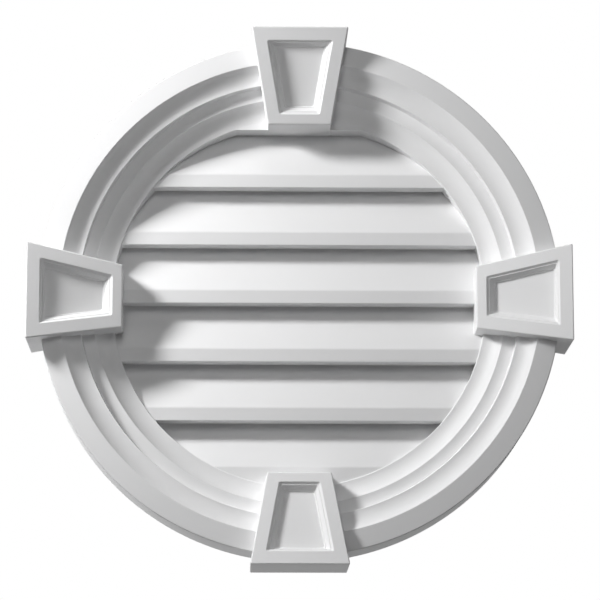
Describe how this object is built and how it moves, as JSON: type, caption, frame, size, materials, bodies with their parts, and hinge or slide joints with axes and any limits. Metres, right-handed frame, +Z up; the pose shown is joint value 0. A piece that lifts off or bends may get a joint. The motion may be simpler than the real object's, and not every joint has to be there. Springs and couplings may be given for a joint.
{
  "type": "gable vent",
  "caption": "Round wall vent moulded in one piece: a coved trim ring with panelled keystones around a bank of sloping louvres that pass air and shed rain.",
  "frame": {"origin": "centre of the ring on the flat back that lies against the wall", "axes": "+Z up, the front faces -Y, +Y points into the wall"},
  "size_m": [0.7112, 0.1101, 0.7112],
  "materials": {
    "white_urethane": "primed satin white"
  },
  "bodies": {
    "root": {"vent_body": "white_urethane"}
  },
  "joints": []
}
